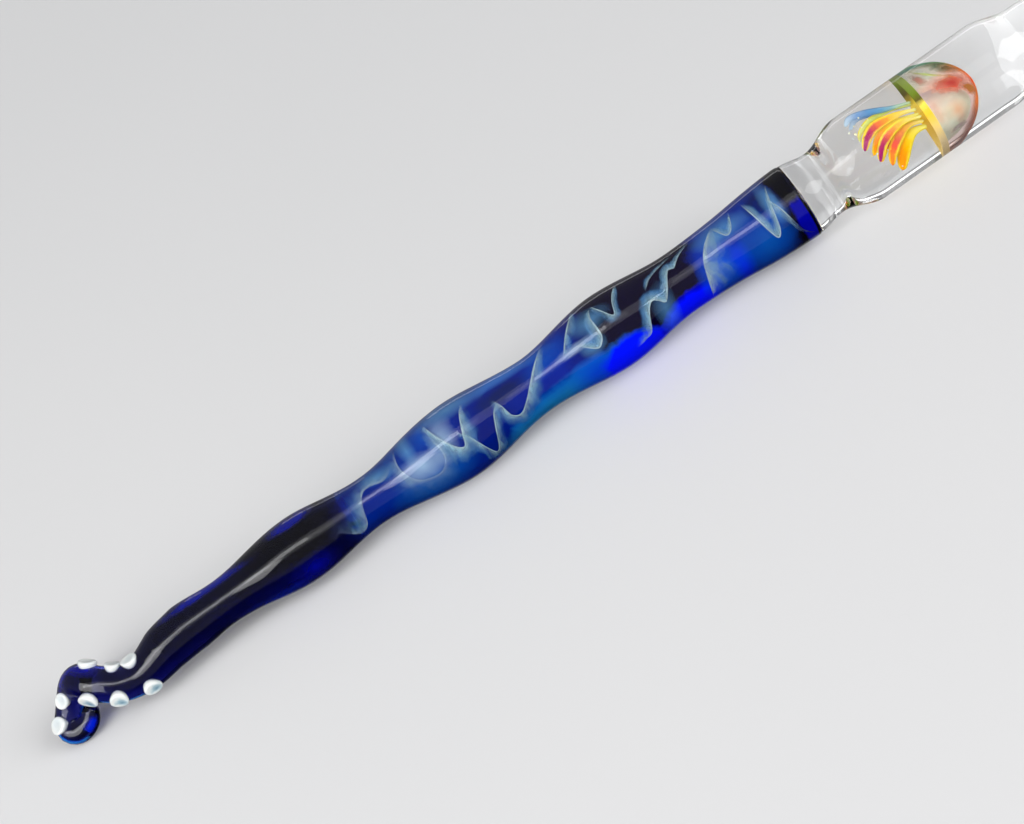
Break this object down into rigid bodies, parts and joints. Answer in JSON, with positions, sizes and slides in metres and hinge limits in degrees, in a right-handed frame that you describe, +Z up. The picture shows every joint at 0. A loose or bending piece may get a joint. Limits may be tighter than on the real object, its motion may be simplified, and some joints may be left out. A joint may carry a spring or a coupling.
{
  "type": "glass dip pen",
  "caption": "Lampworked glass dip pen: curled cobalt tentacle handle with white suckers, a jellyfish cased in its clear barrel, and a twisted fluted glass nib.",
  "frame": {"origin": "on the table, in the middle of the pen's length and width, as the pen lies", "axes": "+X along the pen towards the nib, +Z up, the suckers look up and towards -Y"},
  "size_m": [0.2053, 0.0126, 0.0126],
  "materials": {
    "cobalt_glass": "fire-polished, deep transparent cobalt blue",
    "casing_glass": "fire-polished, clear blue",
    "trail_glass": "pale silver-blue threads under the surface",
    "opal_glass": "opaque white, soft gloss, dished",
    "clear_glass": "fire-polished, colourless, a few seed bubbles",
    "bell_glass": "translucent amber to red film",
    "rim_glass": "opaque olive, yellow and beige bands",
    "inner_bell_glass": "opaline, pale green-white",
    "heart_glass": "opaline peach",
    "streamer_glass": "yellow at the root, orange to red and purple at the tip"
  },
  "bodies": {
    "root": {"barrel_front": "clear_glass", "barrel_rear": "clear_glass", "end_band": "cobalt_glass", "grip": "clear_glass", "handle_casing": "casing_glass", "handle_core": "cobalt_glass", "jelly_bell": "bell_glass", "jelly_heart": "heart_glass", "jelly_inner_bell": "inner_bell_glass", "jelly_rim": "rim_glass", "neck": "clear_glass", "nib": "clear_glass", "nib_collar": "clear_glass", "pale_veil": "trail_glass", "streamer_1": "streamer_glass", "streamer_2": "streamer_glass", "streamer_3": "streamer_glass", "streamer_4": "streamer_glass", "streamer_5": "streamer_glass", "streamer_6": "streamer_glass", "streamer_7": "streamer_glass", "streamer_8": "streamer_glass", "streamer_9": "streamer_glass", "sucker_a1": "opal_glass", "sucker_a2": "opal_glass", "sucker_a3": "opal_glass", "sucker_a4": "opal_glass", "sucker_a5": "opal_glass", "sucker_b1": "opal_glass", "sucker_b2": "opal_glass", "sucker_b3": "opal_glass", "tentacle": "cobalt_glass", "trail_hairpin": "trail_glass", "trail_hook": "trail_glass", "trail_loops": "trail_glass", "trail_zigzag_front": "trail_glass", "trail_zigzag_middle": "trail_glass", "trail_zigzag_rear": "trail_glass"}
  },
  "joints": []
}
